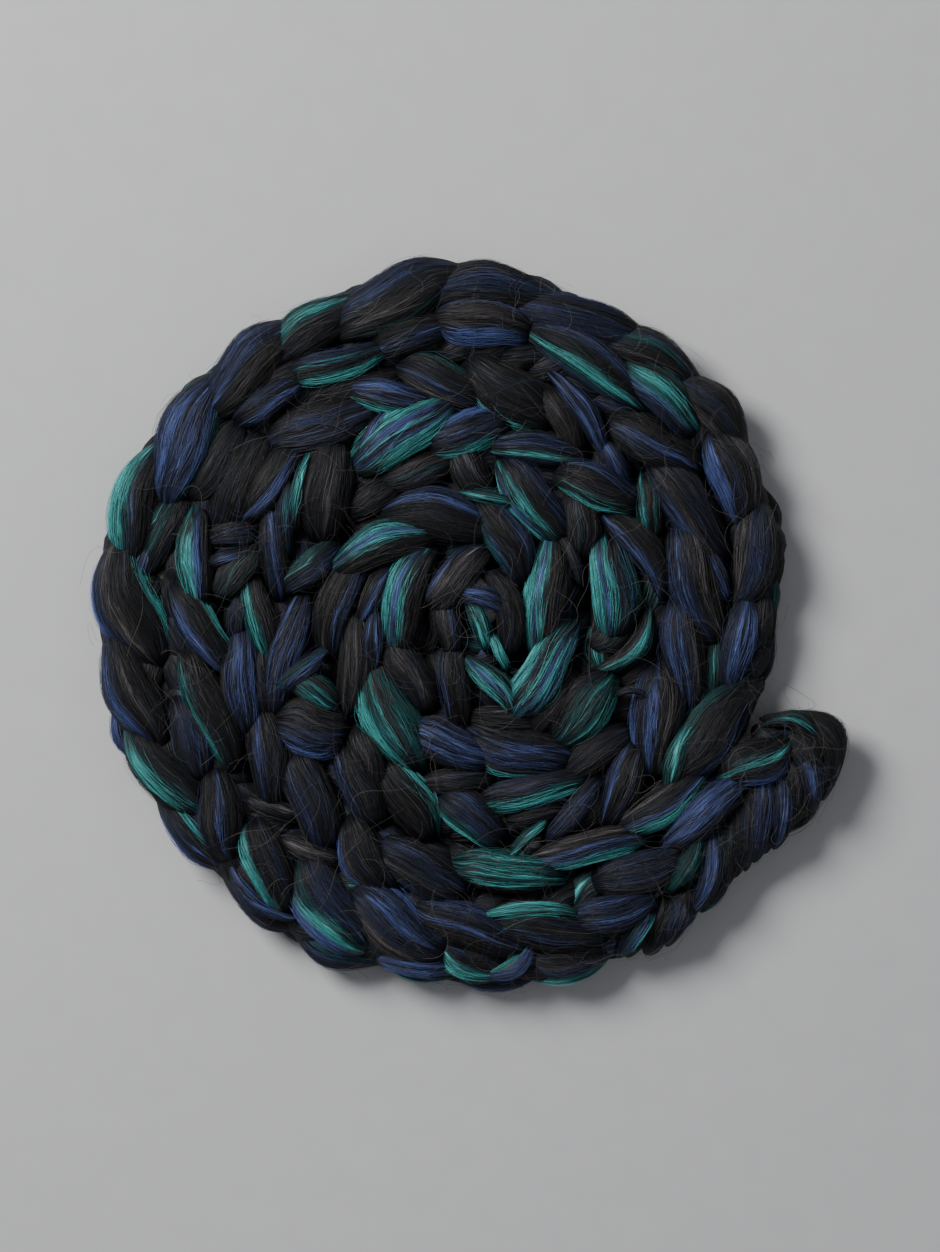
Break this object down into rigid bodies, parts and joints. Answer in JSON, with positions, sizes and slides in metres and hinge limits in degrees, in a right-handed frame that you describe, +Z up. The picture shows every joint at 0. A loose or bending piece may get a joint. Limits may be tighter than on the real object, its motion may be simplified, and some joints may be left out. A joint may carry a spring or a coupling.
{
  "type": "wool roving",
  "caption": "Flat spiral of chained combed wool roving, lying on a surface with its outer end standing out, for spinning or felting.",
  "frame": {"origin": "on the surface it lies on, under the middle of the bounding box", "axes": "+Z up out of the surface; seen from above, the outer end of the strand stands out towards +X and a little -Y"},
  "size_m": [0.3365, 0.3302, 0.0356],
  "materials": {
    "combed_wool": "loose combed wool fibre, near black with navy, royal blue, teal and grey-brown streaks, softly glossy along the fibres"
  },
  "bodies": {
    "root": {"roving": "combed_wool"}
  },
  "joints": []
}
